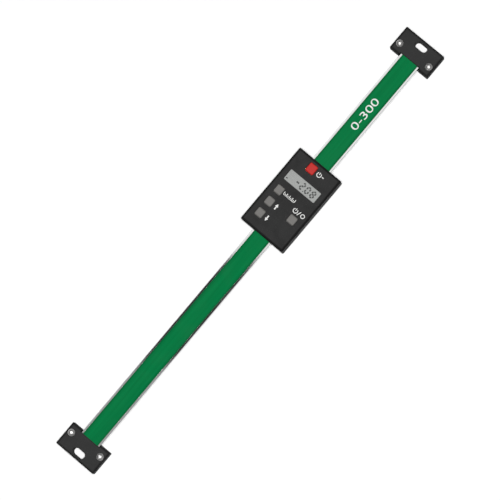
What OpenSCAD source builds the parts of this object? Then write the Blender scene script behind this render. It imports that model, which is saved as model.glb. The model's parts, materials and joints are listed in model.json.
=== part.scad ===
/* [Travel] */
// Free travel of the slider between the two brackets
travel = 303; // [120:1:600]
// Where the slider stands at rest, above the middle of its travel
rest_offset = 48.5; // [-50:0.5:50]

/* [Beam] */
// Width of the beam
beam_w = 18; // [17:0.5:20]
// Thickness of the beam
beam_t = 5; // [4:0.5:8]
// Height of the beam's underside above the mounting plane
beam_lift = 3.7; // [3.7:0.1:6]
// Bevel along the beam's long edges
beam_bevel = 0.3; // [0.1:0.1:0.5]
// Width of the board with the printed scale
strip_w = 14.6; // [12:0.2:15]
// Thickness of the board with the printed scale
strip_t = 1; // [0.6:0.1:1.6]
// Thickness of the film over the scale
film_t = 0.25; // [0.1:0.05:0.4]

/* [Brackets] */
// Width of a bracket, across the beam
bracket_w = 37; // [36:0.5:60]
// Length of a bracket, along the beam
bracket_l = 20.5; // [20:0.5:30]
// Metal of the bracket above the beam
cap_skin = 1.5; // [1:0.1:4]
// Radius of a bracket's upright corners
bracket_corner = 0.6; // [0.4:0.1:2]
// Bevel round a bracket's upper face
bracket_bevel = 0.4; // [0.2:0.1:0.8]
// Depth of the notch in the inner edge, round the beam
notch_l = 2; // [0.5:0.1:3]
// How far the beam reaches into a bracket
seat_l = 11.5; // [9:0.5:11.5]
// Width of the mounting slot
slot_w = 5.5; // [4.5:0.1:5.5]
// Length of the mounting slot, across the beam
slot_l = 10.5; // [8:0.5:16]
// Slot's centre line to the bracket's outer edge
slot_in = 5.2; // [4.5:0.1:5.5]
// Bracket screws to the bracket's inner edge
clamp_screw_in = 7; // [5:0.5:10]
// Bracket screws to the bracket's side edges
clamp_screw_side = 4.2; // [3.5:0.1:4.8]
// Diameter of a bracket screw's shank
clamp_screw_d = 3; // [2:0.5:3]
// Diameter of a bracket screw's head
clamp_head_d = 5.6; // [5:0.1:6]
// Height of a bracket screw's head
clamp_head_h = 2.4; // [1.5:0.1:3]

/* [Slider body] */
// Width of the slider, across the beam
slider_w = 41; // [41:0.5:46]
// Length of the slider, along the beam
slider_l = 70; // [70:0.5:90]
// Radius of the slider's upright corners
slider_corner = 0.8; // [0.4:0.1:1.5]
// Thickness of the steel plate behind the beam
plate_t = 2.2; // [2:0.1:3]
// Air between the beam and the metal under and over it
beam_air = 0.3; // [0.2:0.05:0.5]
// Side walls of the front cover
cover_wall = 1.8; // [1.5:0.1:2]
// Front wall of the cover
cover_roof = 1.7; // [1.5:0.1:2.5]
// Bevel round the cover's front face
face_bevel = 1; // [0.4:0.1:1.3]
// Edge of the overlay to the cover's outline
overlay_in = 1.7; // [1.4:0.1:2]
// Thickness of the overlay
overlay_t = 0.25; // [0.1:0.05:0.5]
// Thickness of the gib strip
gib_t = 1.3; // [1:0.1:1.6]
// Length of the gib strip
gib_l = 44; // [30:1:50]
// Thickness of a felt wiper, along the beam
wiper_t = 1.4; // [1:0.1:1.8]
// Thickness of the circuit board
board_t = 1; // [0.8:0.1:1.6]

/* [Mounting holes] */
// Mounting holes, centre to centre across the beam
mount_x = 30; // [28:0.5:33]
// Mounting holes, centre to centre along the beam
mount_y = 25; // [20:0.5:26]
// Bore of a mounting hole, before its thread
mount_d = 3.3; // [2.5:0.1:3.5]
// Depth of a mounting hole in the slider frame
mount_depth = 2; // [1:0.5:2]

/* [Display] */
// Height of the display window
window_h = 9.4; // [8:0.1:10]
// Middle of the window to the cover's upper edge
window_y = 21.5; // [21.4:0.1:22]
// Radius of the window's corners
window_corner = 0.8; // [0.4:0.1:1.2]
// Edge of the window lens beyond the opening
lens_land = 1.2; // [0.8:0.1:1.4]
// Thickness of the window lens
lens_t = 1; // [0.6:0.1:1.2]
// Edge of the display glass hidden at each side of the window
glass_side = 1.3; // [0.8:0.05:1.4]
// Edge of the display glass hidden above and below the window
glass_edge = 1.5; // [1.1:0.1:1.6]
// Thickness of the display glass
glass_t = 2.1; // [1.6:0.1:2.5]
// Wall of the holder round the display glass
holder_wall = 0.8; // [0.6:0.05:0.85]
// Display holder to the cover's side walls
holder_side = 1.6; // [1:0.1:2]

/* [Keys] */
// Off key to the cover's upper edge
off_y = 7; // [6.9:0.1:7.4]
// Off key's size across the beam
off_w = 7.2; // [6:0.1:7.8]
// Off key's size along the beam
off_l = 7.5; // [7:0.1:8.3]
// Key column to the cover's side edge
column_in = 8.9; // [8.3:0.1:9]
// First key of the column to the cover's upper edge
column_y = 35; // [34.5:0.1:35.5]
// Last key of the column to the cover's lower edge
column_end = 12.5; // [12:0.1:14]
// Column key's size across the beam
column_key_w = 6.5; // [6:0.1:7]
// Space between two keys of the column
column_space = 4.6; // [4:0.05:5]
// Zero key to the cover's side edge
zero_in = 9.9; // [9.7:0.1:11]
// Zero key's size across the beam
zero_w = 6.8; // [6:0.1:8]
// Zero key's size along the beam
zero_l = 6.6; // [6:0.1:8]
// Travel of a key
key_travel = 0.5; // [0.3:0.05:0.6]
// Height of a key above the overlay
key_rise = 0.75; // [0.65:0.05:1.5]
// Radius of a key's upright corners
key_corner = 1.1; // [0.6:0.1:1.4]
// Bevel round a key's top
key_bevel = 0.5; // [0.2:0.1:0.8]
// Side of a key switch
switch_w = 5.2; // [4.5:0.1:5.2]
// Height of a key switch
switch_h = 2.2; // [1.8:0.1:2.6]

/* [Power and data] */
// Diameter of the button cell
cell_d = 11.6; // [11:0.1:11.6]
// Thickness of the button cell
cell_t = 5.4; // [5.2:0.1:6]
// Thickness of a cell contact
contact_t = 0.3; // [0.2:0.05:0.4]
// Length of the data port, along the beam
port_l = 8.4; // [7.4:0.1:8.6]
// Height of the data port
port_h = 3; // [2.5:0.1:4]

/* [Hidden] */
$fn = 48;

// How far a cut runs past the face that it opens
past = 1;
// Running clearance between the slider's guides and the beam
run_gap = 0.05;
// Clearance round a piece that is laid in a pocket
lay_gap = 0.1;
// Clearance round a screw's shank in its thread
thread_gap = 0.05;
// Clearance round a screw's shank in a plain hole
pass_gap = 0.2;
// Clearance between a moving key and the cover
key_gap = 0.25;

// Heights, from the mounting plane up
beam_top = beam_lift + beam_t;
bracket_split = beam_lift + beam_t / 2;
bracket_top = beam_top + cap_skin;
plate_top = beam_lift - beam_air;
plate_z = plate_top - plate_t;
web_z = beam_top + beam_air;
board_top = web_z + board_t;
cell_z = board_top + contact_t;
cell_air = 0.3;
roof_z = cell_z + cell_t + contact_t + cell_air;
cover_top = roof_z + cover_roof;
face_top = cover_top + overlay_t;
key_top = face_top + key_rise;

// Plan sizes, in the upright view: x to the right, y towards the upper bracket
overall_l = travel + slider_l + 2 * bracket_l;
beam_l = overall_l - 2 * (bracket_l - seat_l);
bracket_y = (overall_l - bracket_l) / 2;
seat_gap = 0.05;
seat_end_gap = 0.3;
notch_side = 0.5;
cover_h = cover_top - board_top;
inner_w = slider_w - 2 * cover_wall;
inner_l = slider_l - 2 * cover_wall;
inner_corner = 0.5;
board_edge_gap = 0.3;
board_w = inner_w - 2 * board_edge_gap;
web_l = 2.6;
wiper_slot = wiper_t + 2 * lay_gap;
board_l = slider_l - 2 * (web_l + wiper_slot + lay_gap);
rail_clear = 0.15;
side_gap = beam_w / 2 + rail_clear;
strip_gap = 0.1;
groove_w = strip_w + 2 * strip_gap;
film_sink = 0.05;
groove_t = strip_t + film_t + film_sink;

// Screws: shank and head sizes
plate_screw_d = 3;
plate_head_d = 5.5;
plate_head_h = (plate_head_d - plate_screw_d) / 2;
small_screw_d = 2;
small_head_d = 3.8;
small_head_h = 1.4;
gib_screw_d = 2.5;
gib_screw_l = 8;
gib_screw_y = 10;
gib_socket = 1.5;
socket_depth = 1.5;
screw_bite = 4;

// Display stack
window_up = slider_l / 2 - window_y;
glass_w = inner_w - 2 * (holder_side + holder_wall + lay_gap);
glass_h = window_h + 2 * glass_edge;
window_w = glass_w - 2 * glass_side;
holder_h = glass_h + 2 * (lay_gap + holder_wall);
lens_fit = 0.05;
glass_lip = 0.3;
glass_air = 0.3;
glass_z = roof_z - glass_air - glass_lip - glass_t;
rubber_w = 1.4;

// Button cell, in the corner beside the left wall
cell_side_air = 0.1;
cell_end_air = 0.2;
cell_at = [
    -(inner_w - cell_d) / 2 + cell_side_air,
    (inner_l - cell_d) / 2 - cell_end_air
];

// Keys, from the middle of the slider
off_beside_cell = 0.4;
off_at = [cell_at.x + cell_d / 2 + off_beside_cell + off_w / 2, slider_l / 2 - off_y];
column_x = column_in - slider_w / 2;
unit_at = [column_x, slider_l / 2 - column_y];
down_at = [column_x, column_end - slider_l / 2];
up_at = (unit_at + down_at) / 2;
column_key_l = unit_at.y - up_at.y - column_space;
zero_at = [slider_w / 2 - zero_in, up_at.y];
KEY_SIZES = [
    [off_at, off_w, off_l],
    [unit_at, column_key_w, column_key_l],
    [up_at, column_key_w, column_key_l],
    [down_at, column_key_w, column_key_l],
    [zero_at, zero_w, zero_l]
];
flange_t = 1.2;
flange_air = 0.1;
flange_out = 0.6;
flange_in = 0.3;
plunger_d = 2.4;
plunger_gap = 0.1;
plunger_spare = 0.3;
plunger_z = board_top + key_travel + plunger_spare;
plunger_top = plunger_z + switch_h;

// Posts in the cover that take its screws, and the board's own screws
post_d = 4;
post_into_wall = 0.1;
post_x = (inner_w - post_d) / 2 + post_into_wall;
post_end = 1.7;
post_y = board_l / 2 - post_end;
post_mid_y = (unit_at.y + up_at.y) / 2;
POSTS = [[post_x, post_y], [post_x, -post_y], [-post_x, -post_y], [-post_x, post_mid_y]];
plate_screw_to_post = 7.5;
plate_screw_y = post_y - plate_screw_to_post;
gib_to_post = 5.4;
gib_y = post_mid_y + gib_to_post;
board_screw_edge = 2.1;
board_screw_x = board_w / 2 - board_screw_edge;
board_screw_y = window_up - holder_h / 2 - small_head_d / 2 - pass_gap;
BOARD_SCREWS = [
    [-board_screw_x, board_screw_y],
    [board_screw_x, board_screw_y],
    [board_screw_x, zero_at.y + small_head_d / 2]
];

// The two covers in the side wall
door_l = cell_d + 2 * lay_gap;
door_h = cell_t + 2 * contact_t;
door_arm_l = 2.4;
door_arm_t = 0.8;
port_at = (up_at.y + down_at.y) / 2;
port_arm_l = 1.8;

// ---- Helpers ----

// Turns the upright part, so that the beam lies along X with its upper bracket at +X
module laid() {
    rotate([0, 0, -90]) children();
}

// The slider's own place on the beam at rest
module on_slider() {
    laid() translate([0, rest_offset, 0]) children();
}

// One end of the beam: 1 is the upper bracket, -1 the lower
module at_end(side) {
    laid() rotate([0, 0, side > 0 ? 0 : 180]) translate([0, bracket_y, 0]) children();
}

// A profile in x and height, drawn out along y
module along_y(length) {
    rotate([90, 0, 0]) linear_extrude(length, center = true) children();
}

// A profile in y and height, drawn out along x
module along_x(length) {
    rotate([90, 0, 90]) linear_extrude(length, center = true) children();
}

module at_signs(x, y) {
    for (sx = [-1, 1], sy = [-1, 1]) translate([sx * x, sy * y, 0]) children();
}

module round_rect(w, l, r) {
    square([w - 2 * r, l], center = true);
    square([w, l - 2 * r], center = true);
    for (sx = [-1, 1], sy = [-1, 1]) translate([sx * (w / 2 - r), sy * (l / 2 - r)]) circle(r);
}

// A slot with round ends, its long way along x
module stadium(length, w) {
    square([length - w, w], center = true);
    for (sx = [-1, 1]) translate([sx * (length - w) / 2, 0]) circle(d = w);
}

// A rectangle that stands on zero with its two upper corners cut off
module bevelled_side(w, h, bevel) {
    polygon([
        [-w / 2, 0], [w / 2, 0], [w / 2, h - bevel],
        [w / 2 - bevel, h], [-w / 2 + bevel, h], [-w / 2, h - bevel]
    ]);
}

// A block with round upright corners and a bevel round its upper face
module bevelled_block(w, l, h, r, bevel) {
    intersection() {
        linear_extrude(h) round_rect(w, l, r);
        along_y(l) bevelled_side(w, h, bevel);
        along_x(w) bevelled_side(l, h, bevel);
    }
}

// A hole or shank from one height to another
module upright(d, z0, z1) {
    translate([0, 0, z0]) cylinder(d = d, h = z1 - z0);
}

// A low domed screw head with a cross recess, standing on zero
module pan_head(d, h) {
    edge_share = 0.55;
    dome_r = (d * d / 4 + pow(edge_share * h, 2)) / (2 * edge_share * h);
    recess_w = d / 5.6;
    recess_l = d * 0.6;
    recess_depth = h * 0.6;
    difference() {
        intersection() {
            cylinder(d = d, h = h);
            translate([0, 0, h - dome_r]) sphere(dome_r);
        }
        for (turn = [0, 90]) rotate([0, 0, turn])
            translate([-recess_l / 2, -recess_w / 2, h - recess_depth])
                cube([recess_l, recess_w, recess_depth + past]);
    }
}

// ---- Beam ----

module beam_section() {
    difference() {
        polygon([
            [-beam_w / 2 + beam_bevel, 0], [beam_w / 2 - beam_bevel, 0],
            [beam_w / 2, beam_bevel], [beam_w / 2, beam_t - beam_bevel],
            [beam_w / 2 - beam_bevel, beam_t], [-beam_w / 2 + beam_bevel, beam_t],
            [-beam_w / 2, beam_t - beam_bevel], [-beam_w / 2, beam_bevel]
        ]);
        translate([-groove_w / 2, beam_t - groove_t]) square([groove_w, groove_t + past]);
    }
}

module beam() color("silver") laid()
    translate([0, 0, beam_lift]) along_y(beam_l) beam_section();

module scale_strip() color("goldenrod") laid()
    translate([0, 0, beam_top - groove_t])
        along_y(beam_l) translate([-strip_w / 2, 0]) square([strip_w, strip_t]);

module scale_film() color("green") laid()
    translate([0, 0, beam_top - film_sink - film_t])
        along_y(beam_l) translate([-strip_w / 2, 0]) square([strip_w, film_t]);

// ---- End brackets ----

// All that is cut from both halves of a bracket, seen from above
module bracket_cuts() {
    translate([0, bracket_l / 2 - slot_in]) stadium(slot_l, slot_w);
    notch_w = beam_w + 2 * notch_side;
    translate([-notch_w / 2, -bracket_l / 2 - past]) square([notch_w, notch_l + past]);
}

// The pocket that holds the beam's end
module beam_seat() {
    seat_w = beam_w + 2 * seat_gap;
    translate([-seat_w / 2, -bracket_l / 2 - past, beam_lift])
        cube([seat_w, past + seat_l + seat_end_gap, beam_t]);
}

module at_clamp_screws() {
    for (sx = [-1, 1])
        translate([sx * (bracket_w / 2 - clamp_screw_side), clamp_screw_in - bracket_l / 2, 0])
            children();
}

clamp_tip_z = bracket_split - screw_bite;

module bracket_base() {
    difference() {
        linear_extrude(bracket_split) difference() {
            round_rect(bracket_w, bracket_l, bracket_corner);
            bracket_cuts();
        }
        beam_seat();
        at_clamp_screws()
            upright(clamp_screw_d + 2 * thread_gap, clamp_tip_z - lay_gap, bracket_split + past);
    }
}

module bracket_cap() {
    cap_h = bracket_top - bracket_split;
    difference() {
        translate([0, 0, bracket_split])
            bevelled_block(bracket_w, bracket_l, cap_h, bracket_corner, bracket_bevel);
        translate([0, 0, bracket_split - past]) linear_extrude(cap_h + 2 * past) bracket_cuts();
        beam_seat();
        at_clamp_screws()
            upright(clamp_screw_d + 2 * pass_gap, bracket_split - past, bracket_top + past);
    }
}

module bracket_screws() {
    at_clamp_screws() {
        upright(clamp_screw_d, clamp_tip_z, bracket_top);
        translate([0, 0, bracket_top]) pan_head(clamp_head_d, clamp_head_h);
    }
}

module upper_bracket_base() color("dimgray") at_end(1) bracket_base();
module upper_bracket_cap() color("gray") at_end(1) bracket_cap();
module upper_bracket_screws() color("silver") at_end(1) bracket_screws();
module lower_bracket_base() color("dimgray") at_end(-1) bracket_base();
module lower_bracket_cap() color("gray") at_end(-1) bracket_cap();
module lower_bracket_screws() color("silver") at_end(-1) bracket_screws();

// ---- Slider frame, plate and guides ----

plate_screw_x = mount_x / 2;
plate_screw_top = plate_top + screw_bite;
gib_z = beam_lift + run_gap;
gib_h = beam_t - 2 * beam_bevel;
gib_x = beam_w / 2 + run_gap + gib_t;
gib_axis_z = gib_z + gib_h - gib_screw_d / 2 - thread_gap;
post_screw_seat = plate_top + small_head_h + lay_gap;

// Holes that go up into the frame from its underside
module frame_underside_holes() {
    at_signs(mount_x / 2, mount_y / 2) upright(mount_d, plate_top - past, plate_top + mount_depth);
    at_signs(plate_screw_x, plate_screw_y)
        upright(plate_screw_d + 2 * thread_gap, plate_top - past, plate_screw_top + lay_gap);
    for (p = POSTS) translate(p) {
        upright(small_screw_d + 2 * pass_gap, plate_top - past, board_top + past);
        upright(small_head_d + 2 * pass_gap, plate_top - past, post_screw_seat);
    }
}

// Cuts in the frame for the beam, the gib strip, the board and the wipers
module frame_guides() {
    right_side = beam_w / 2 + run_gap;
    z0 = plate_top - past;
    translate([-side_gap, -slider_l / 2 - past, z0])
        cube([side_gap + right_side, slider_l + 2 * past, web_z - z0]);
    gib_room = gib_x + lay_gap;
    translate([-gib_room, gib_y - gib_l / 2 - lay_gap, z0])
        cube([gib_room, gib_l + 2 * lay_gap, gib_z + gib_h + lay_gap - z0]);
    pocket_w = board_w + 2 * lay_gap;
    pocket_l = board_l + 2 * lay_gap;
    translate([-pocket_w / 2, -pocket_l / 2, web_z]) cube([pocket_w, pocket_l, board_t + past]);
    for (turn = [0, 180]) rotate([0, 0, turn])
        translate([-side_gap, slider_l / 2 - wiper_slot, web_z - past])
            cube([2 * side_gap, wiper_slot + past, board_t + 2 * past]);
}

module slider_frame() color("slategray") on_slider() difference() {
    translate([0, 0, plate_top])
        linear_extrude(board_top - plate_top) round_rect(slider_w, slider_l, slider_corner);
    frame_guides();
    frame_underside_holes();
    for (p = BOARD_SCREWS) translate(p)
        upright(small_screw_d + 2 * thread_gap, web_z - screw_bite + small_head_h, board_top);
    for (sy = [-1, 1]) translate([-slider_w / 2 - past, gib_y + sy * gib_screw_y, gib_axis_z])
        rotate([0, 90, 0]) cylinder(d = gib_screw_d + 2 * thread_gap, h = slider_w / 2 + past - gib_x);
}

module back_plate() color("lightsteelblue") on_slider() difference() {
    translate([0, 0, plate_z]) linear_extrude(plate_t) round_rect(slider_w, slider_l, slider_corner);
    at_signs(mount_x / 2, mount_y / 2) upright(mount_d, plate_z - past, plate_top + past);
    at_signs(plate_screw_x, plate_screw_y) {
        upright(plate_screw_d + 2 * pass_gap, plate_z - past, plate_top + past);
        countersink(plate_head_d + 2 * pass_gap, plate_screw_d + 2 * pass_gap);
    }
}

// The cone of a countersunk head, wide end at the plate's outer face
module countersink(d_out, d_in) {
    translate([0, 0, plate_z]) cylinder(d1 = d_out, d2 = d_in, h = plate_head_h);
}

plate_recess_l = plate_head_d / 2;
plate_recess_w = plate_head_d / 7;
plate_recess_depth = plate_head_h * 0.7;

module back_plate_screws() color("silver") on_slider() at_signs(plate_screw_x, plate_screw_y)
    difference() {
        union() {
            countersink(plate_head_d, plate_screw_d);
            upright(plate_screw_d, plate_z + plate_head_h, plate_screw_top);
        }
        for (turn = [0, 90]) rotate([0, 0, turn])
            translate([-plate_recess_l / 2, -plate_recess_w / 2, plate_z - past])
                cube([plate_recess_l, plate_recess_w, past + plate_recess_depth]);
    }

module gib_strip() color("peru") on_slider()
    translate([-gib_x, gib_y - gib_l / 2, gib_z]) cube([gib_t, gib_l, gib_h]);

module gib_screws() color("darkslategray") on_slider() for (sy = [-1, 1])
    translate([-gib_x, gib_y + sy * gib_screw_y, gib_axis_z]) rotate([0, -90, 0]) difference() {
        cylinder(d = gib_screw_d, h = gib_screw_l);
        translate([0, 0, gib_screw_l - socket_depth])
            cylinder(d = gib_socket, h = socket_depth + past, $fn = 6);
    }

pad_t = beam_air - run_gap;
pad_side = 0.5;
pad_end = 0.2;
pad_w = beam_w - 2 * pad_side;
pad_l = web_l - 2 * pad_end;
lower_pad_l = 8;

module glide_pads() color("white") on_slider() for (turn = [0, 180]) rotate([0, 0, turn]) {
    web_mid = slider_l / 2 - wiper_slot - web_l / 2;
    translate([-pad_w / 2, web_mid - pad_l / 2, web_z - pad_t]) cube([pad_w, pad_l, pad_t]);
    translate([-pad_w / 2, web_mid - lower_pad_l, plate_top]) cube([pad_w, lower_pad_l, pad_t]);
}

wiper_rise = 0.8;

// A felt bar, grown by the given clearance where it makes its own pocket
module wiper_bar(grow) {
    z0 = beam_top + run_gap;
    translate([
        -beam_w / 2 - grow,
        slider_l / 2 - wiper_slot + lay_gap - grow,
        z0
    ]) cube([beam_w + 2 * grow, wiper_t + 2 * grow, board_top + wiper_rise + grow - z0]);
}

module wipers() color("tan") on_slider() for (turn = [0, 180]) rotate([0, 0, turn]) wiper_bar(0);

// ---- Front cover and face ----

// Walls and roof of the cover, before its openings are cut
module cover_shell() {
    difference() {
        translate([0, 0, board_top])
            bevelled_block(slider_w, slider_l, cover_h, slider_corner, face_bevel);
        translate([0, 0, board_top - past])
            linear_extrude(roof_z - board_top + past) round_rect(inner_w, inner_l, inner_corner);
    }
}

module cover_posts() {
    for (p = POSTS) translate(p) upright(post_d, board_top, roof_z + cover_roof / 2);
}

// The key openings, seen from the front
module key_openings() {
    for (k = KEY_SIZES) translate(k[0])
        round_rect(k[1] + 2 * key_gap, k[2] + 2 * key_gap, key_corner + key_gap);
}

module window_opening() {
    translate([0, window_up]) round_rect(window_w, window_h, window_corner);
}

// A hole through the left wall, at the given place along the beam
module left_wall_hole(y, length, h) {
    translate([-slider_w / 2 - past, y - length / 2, board_top - past])
        cube([cover_wall + 2 * past, length, h + past]);
}

module front_cover() color("dimgray") on_slider() difference() {
    union() {
        cover_shell();
        cover_posts();
    }
    translate([0, 0, roof_z - past]) linear_extrude(cover_roof + 2 * past) {
        key_openings();
        window_opening();
    }
    translate([0, window_up, cover_top - lens_t])
        linear_extrude(lens_t + past)
            square([window_w + 2 * lens_land, window_h + 2 * lens_land], center = true);
    left_wall_hole(cell_at.y, door_l, door_h);
    left_wall_hole(port_at, port_l, port_h);
    for (turn = [0, 180]) rotate([0, 0, turn]) wiper_bar(lay_gap);
    for (p = POSTS) translate(p)
        upright(small_screw_d + 2 * thread_gap, board_top - past, board_top + screw_bite + lay_gap);
}

module cover_screws() color("silver") on_slider() for (p = POSTS) translate(p) {
    upright(small_screw_d, post_screw_seat, board_top + screw_bite);
    translate([0, 0, post_screw_seat]) mirror([0, 0, 1]) pan_head(small_head_d, small_head_h);
}

module face_overlay() color("darkslategray") on_slider() translate([0, 0, cover_top])
    linear_extrude(overlay_t) difference() {
        round_rect(slider_w - 2 * overlay_in, slider_l - 2 * overlay_in, slider_corner);
        key_openings();
        window_opening();
    }

// ---- Display ----

module display_window() color("lightblue") on_slider()
    translate([0, window_up, cover_top - lens_t]) linear_extrude(lens_t) square([
        window_w + 2 * (lens_land - lens_fit),
        window_h + 2 * (lens_land - lens_fit)
    ], center = true);

module display_glass() color("honeydew") on_slider()
    translate([0, window_up, glass_z]) linear_extrude(glass_t)
        square([glass_w, glass_h], center = true);

module display_holder() color("whitesmoke") on_slider() translate([0, window_up, 0]) {
    room_w = glass_w + 2 * lay_gap;
    room_h = glass_h + 2 * lay_gap;
    lip_in = 0.6;
    difference() {
        translate([0, 0, board_top]) linear_extrude(roof_z - glass_air - board_top)
            square([room_w + 2 * holder_wall, holder_h], center = true);
        translate([0, 0, board_top - past]) linear_extrude(glass_z + glass_t - board_top + past)
            square([room_w, room_h], center = true);
        translate([0, 0, roof_z - past]) linear_extrude(2 * past, center = true)
            square([glass_w - 2 * lip_in, glass_h - 2 * lip_in], center = true);
    }
}

module contact_rubbers() color("black") on_slider() for (sy = [-1, 1])
    translate([-glass_w / 2, window_up + sy * (glass_h - rubber_w) / 2 - rubber_w / 2, board_top])
        cube([glass_w, rubber_w, glass_z - board_top]);

// ---- Circuit board ----

module circuit_board() color("darkgreen") on_slider() difference() {
    translate([0, 0, web_z]) linear_extrude(board_t) square([board_w, board_l], center = true);
    for (p = POSTS) translate(p)
        upright(small_screw_d + 2 * pass_gap, web_z - past, board_top + past);
    for (p = BOARD_SCREWS) translate(p)
        upright(small_screw_d + 2 * pass_gap, web_z - past, board_top + past);
}

module board_screws() color("silver") on_slider() for (p = BOARD_SCREWS) translate(p) {
    upright(small_screw_d, web_z - screw_bite + small_head_h + lay_gap, board_top);
    translate([0, 0, board_top]) pan_head(small_head_d, small_head_h);
}

electrode_pitch = 2.54;
electrode_count = 16;
electrode_t = 0.05;
electrode_w = strip_w * 0.7;

// Copper bars on the board's underside, facing the scale
module sensing_electrodes() color("orange") on_slider()
    for (i = [0 : electrode_count - 1])
        translate([0, (i - (electrode_count - 1) / 2) * electrode_pitch, web_z - electrode_t])
            linear_extrude(electrode_t) square([electrode_w, electrode_pitch / 2], center = true);

chip_w = 7;
chip_t = 1.3;
chip_above_key = 3;
chip_legs = 8;
chip_pitch = 0.8;
chip_leg = 0.3;
chip_leg_l = 1.1;

module measuring_chip() color("black") on_slider()
    translate([0, up_at.y + chip_above_key, board_top]) {
    translate([0, 0, chip_leg / 2])
        bevelled_block(chip_w, chip_w, chip_t, chip_leg, chip_leg / 2);
    for (turn = [0 : 90 : 270], i = [0 : chip_legs - 1]) rotate([0, 0, turn])
        translate([
            (i - (chip_legs - 1) / 2) * chip_pitch - chip_leg / 2,
            chip_w / 2 - chip_leg,
            0
        ]) cube([chip_leg, chip_leg_l, chip_leg]);
}

// Places on the board, up from its lower end
module on_board(x, up) {
    on_slider() translate([x, up - board_l / 2, board_top]) children();
}

crystal_size = [6, 2.2, 1.4];
crystal_corner = 0.9;
crystal_bevel = 0.2;
crystal_at = [1.5, 12];

module crystal() color("silver") on_board(crystal_at.x, crystal_at.y)
    bevelled_block(crystal_size.x, crystal_size.y, crystal_size.z, crystal_corner, crystal_bevel);

small_part = [1.7, 0.9, 0.8];
row_at = [-5, 7.6];
row_pitch = 2.6;
stack_at = [6.6, 10.5];
stack_pitch = 2.2;

module small_board_part() {
    linear_extrude(small_part.z) square([small_part.x, small_part.y], center = true);
}

// A row of five parts below the crystal and a stack of three beside it
module board_parts() color("burlywood") {
    for (i = [0 : 4]) on_board(row_at.x + i * row_pitch, row_at.y)
        rotate([0, 0, 90]) small_board_part();
    for (i = [0 : 2]) on_board(stack_at.x, stack_at.y + i * stack_pitch) small_board_part();
}

switch_corner = 0.4;
switch_bevel = 0.3;

module switch_housings() color("gainsboro") on_slider() for (k = KEY_SIZES)
    translate([k[0].x, k[0].y, board_top]) difference() {
        bevelled_block(switch_w, switch_w, switch_h, switch_corner, switch_bevel);
        upright(plunger_d + 2 * plunger_gap, -past, switch_h + past);
    }

// ---- Keys ----

// A key with its two retaining edges and the stem that pushes its switch
module key_cap(k) {
    flange_z = roof_z - flange_air - flange_t;
    on_slider() translate([k[0].x, k[0].y, 0]) {
        translate([0, 0, flange_z]) bevelled_block(k[1], k[2], key_top - flange_z, key_corner, key_bevel);
        translate([0, 0, flange_z]) linear_extrude(flange_t)
            square([k[1] - 2 * flange_in, k[2] + 2 * flange_out], center = true);
        upright(plunger_d, plunger_top, flange_z + flange_t / 2);
    }
}

module key_plunger(k) {
    on_slider() translate([k[0].x, k[0].y, 0]) upright(plunger_d, plunger_z, plunger_top);
}

module off_key() color("firebrick") key_cap(KEY_SIZES[0]);
module unit_key() color("darkgray") key_cap(KEY_SIZES[1]);
module up_key() color("darkgray") key_cap(KEY_SIZES[2]);
module down_key() color("darkgray") key_cap(KEY_SIZES[3]);
module zero_key() color("darkgray") key_cap(KEY_SIZES[4]);
module off_plunger() color("orange") key_plunger(KEY_SIZES[0]);
module unit_plunger() color("orange") key_plunger(KEY_SIZES[1]);
module up_plunger() color("orange") key_plunger(KEY_SIZES[2]);
module down_plunger() color("orange") key_plunger(KEY_SIZES[3]);
module zero_plunger() color("orange") key_plunger(KEY_SIZES[4]);

// ---- Button cell, contacts and side covers ----

// A can with a turned-in rim, and the smaller cap that stands out of it
module button_cell() color("silver") on_slider() translate([cell_at.x, cell_at.y, cell_z]) {
    can_h = cell_t * 0.8;
    rim = 0.5;
    rim_h = 0.4;
    cap_d = cell_d - 4 * rim;
    cylinder(d = cell_d, h = can_h);
    translate([0, 0, can_h]) cylinder(d1 = cell_d, d2 = cell_d - 2 * rim, h = rim_h);
    cylinder(d = cap_d, h = cell_t);
}

contact_w = 4;
contact_inset = 1;
contact_reach = cell_d * 0.75;

module cell_contact_minus() color("gold") on_slider()
    translate([cell_at.x - cell_d / 2 + contact_inset, cell_at.y - contact_w / 2, board_top])
        cube([cell_d - contact_inset, contact_w, contact_t]);

// A bent strip: up from the board beside the cell, then over it
module cell_contact_plus() color("gold") on_slider() {
    leg_y = cell_at.y - cell_d / 2 - lay_gap - contact_t;
    x0 = cell_at.x - contact_w / 2;
    top_z = cell_z + cell_t;
    translate([x0, leg_y, board_top]) cube([contact_w, contact_t, top_z + contact_t - board_top]);
    translate([x0, leg_y, top_z]) cube([contact_w, contact_reach, contact_t]);
}

port_pads = 4;
port_pitch = 1.7;
port_pad = [1.6, 0.9, 0.1];
port_pad_in = 1;

module port_contacts() color("gold") on_slider() for (i = [0 : port_pads - 1])
    translate([
        port_pad_in - board_w / 2,
        port_at + (i - (port_pads - 1) / 2) * port_pitch,
        board_top
    ]) linear_extrude(port_pad.z) square([port_pad.x, port_pad.y], center = true);

// A cover that closes a hole in the left wall, held by two arms beside the hole's ends
module wall_cover(y, length, h, arm_l) {
    outer = length - 2 * lay_gap;
    z0 = board_top + lay_gap;
    height = h - 2 * lay_gap;
    groove_w = 0.6;
    groove_depth = 0.3;
    on_slider() translate([0, y, 0]) {
        difference() {
            translate([-slider_w / 2, -outer / 2, z0]) cube([cover_wall, outer, height]);
            for (sy = [-1 : 1])
                translate([-slider_w / 2 - past, sy * outer / 5 - groove_w / 2, z0 - past])
                    cube([groove_depth + past, groove_w, height + 2 * past]);
        }
        for (sy = [-1, 1])
            translate([
                cover_wall / 2 - slider_w / 2,
                sy * (outer - door_arm_t) / 2 - door_arm_t / 2,
                z0 + height / 4
            ]) cube([cover_wall / 2 + arm_l, door_arm_t, height / 2]);
    }
}

module battery_door() color("dimgray") wall_cover(cell_at.y, door_l, door_h, door_arm_l);
module port_cover() color("dimgray") wall_cover(port_at, port_l, port_h, port_arm_l);

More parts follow.
